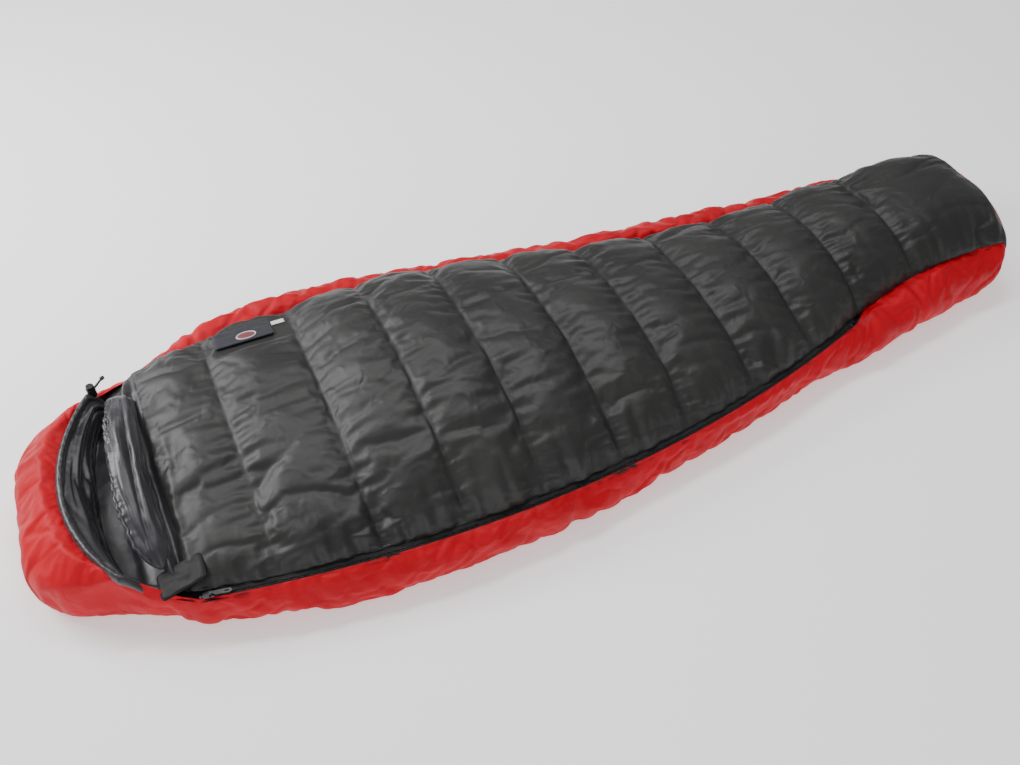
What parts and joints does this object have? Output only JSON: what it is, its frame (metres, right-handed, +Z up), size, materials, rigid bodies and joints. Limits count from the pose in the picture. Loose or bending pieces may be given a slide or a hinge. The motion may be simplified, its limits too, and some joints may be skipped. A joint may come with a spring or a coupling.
{
  "type": "mummy sleeping bag",
  "caption": "Mummy sleeping bag lying flat and zipped: a quilted top that folds open on the right, a padded hood with a drawcord, a stash pocket and a tapered foot.",
  "frame": {"origin": "on the floor, under the middle of the bag's length and width", "axes": "+X from the hood to the feet, +Z up off the floor; -Y is the wearer's right, where the zip is"},
  "size_m": [2.0535, 0.7534, 0.2055],
  "materials": {
    "shell_black": "satin",
    "shell_red": "satin",
    "lining": "satin",
    "filling": "matte",
    "collar_cloth": "satin",
    "rim_cloth": "satin",
    "zip_tape": "matte",
    "zip_coil": "satin",
    "zip_metal": "satin",
    "tab_cloth": "matte",
    "hook_and_loop": "matte",
    "pocket_cloth": "satin",
    "badge": "satin",
    "tag": "matte",
    "cord": "matte",
    "lock_plastic": "satin",
    "spring_steel": "polished"
  },
  "bodies": {
    "root": {"bottom_fill_hip": "filling", "bottom_fill_leg": "filling", "bottom_fill_shoulder": "filling", "bottom_lining": "lining", "bottom_shell": "shell_red", "draft_tube": "collar_cloth", "foot_fill": "filling", "foot_shell": "shell_red", "pocket_bag": "pocket_cloth", "rest_fill_10": "filling", "rest_fill_11": "filling", "rest_fill_1_2": "filling", "rest_fill_3": "filling", "rest_fill_4": "filling", "rest_fill_5": "filling", "rest_fill_6": "filling", "rest_fill_7": "filling", "rest_fill_8": "filling", "rest_fill_9": "filling", "rest_lining": "lining", "rest_shell": "shell_black", "side_fill_left": "filling", "side_fill_right": "filling", "side_shell_left": "shell_red", "side_shell_right": "shell_red", "size_tag": "tag", "tab_loop_patch": "hook_and_loop", "zip_bottom_stop": "zip_metal", "zip_coil_fixed": "zip_coil", "zip_tape_fixed": "zip_tape", "zip_top_stop": "zip_metal"},
    "flap": {"flap_fill_1": "filling", "flap_fill_2": "filling", "flap_fill_3": "filling", "flap_fill_4": "filling", "flap_fill_5": "filling", "flap_fill_6": "filling", "flap_fill_7": "filling", "flap_fill_8_9": "filling", "flap_lining": "lining", "flap_shell": "shell_black", "zip_tape_flap": "zip_tape", "zip_coil_flap": "zip_coil", "draft_collar": "collar_cloth"},
    "slider": {"zip_slider": "zip_metal"},
    "pull": {"zip_pull": "zip_metal"},
    "tab": {"closure_tab": "tab_cloth", "tab_hook_patch": "hook_and_loop"},
    "pocket_lid": {"pocket_flap": "pocket_cloth", "pocket_badge": "badge"},
    "hood": {"hood_drawcord": "cord", "hood_fill_pad": "filling", "hood_fill_wall": "filling", "hood_floor": "shell_red", "hood_lining": "lining", "hood_rim": "rim_cloth", "hood_shell": "shell_red"},
    "lock": {"lock_barrel": "lock_plastic", "lock_spring": "spring_steel"},
    "button": {"lock_button": "lock_plastic"}
  },
  "joints": [
    {"name": "flap_fold", "type": "hinge", "parent": "root", "child": "flap", "pos_m": [-0.758, 0.199, 0.172], "axis": [-0.9511, 0.3039, 0.0544], "range_deg": [0, 120]},
    {"name": "slider_run", "type": "hinge", "parent": "root", "child": "slider", "pos_m": [-0.237, 2.169, 0.08], "axis": [0, 0, 1], "range_deg": [0, 30.38]},
    {"name": "pull_swing", "type": "hinge", "parent": "slider", "child": "pull", "pos_m": [-0.74206, -0.28558, 0.0857], "axis": [-0.2027, -0.9792, 0], "range_deg": [0, 150]},
    {"name": "tab_peel", "type": "hinge", "parent": "flap", "child": "tab", "pos_m": [-0.737, -0.243, 0.109], "axis": [0, 1, 0], "range_deg": [0, 130]},
    {"name": "pocket_open", "type": "hinge", "parent": "root", "child": "pocket_lid", "pos_m": [-0.548, 0.20473, 0.13229], "axis": [1, 0, 0], "range_deg": [0, 140]},
    {"name": "hood_tilt", "type": "hinge", "parent": "root", "child": "hood", "pos_m": [-0.836, 0, 0.07], "axis": [0, 1, 0], "range_deg": [0, 30]},
    {"name": "lock_slide", "type": "slide", "parent": "hood", "child": "lock", "axis": [0.6574, 0.7535, 0], "range_m": [0, 0.022]},
    {"name": "button_press", "type": "slide", "parent": "lock", "child": "button", "axis": [0, 0, -1], "range_m": [0, 0.003], "stiffness_N_per_m": 500, "deforming": ["lock_spring"]}
  ]
}
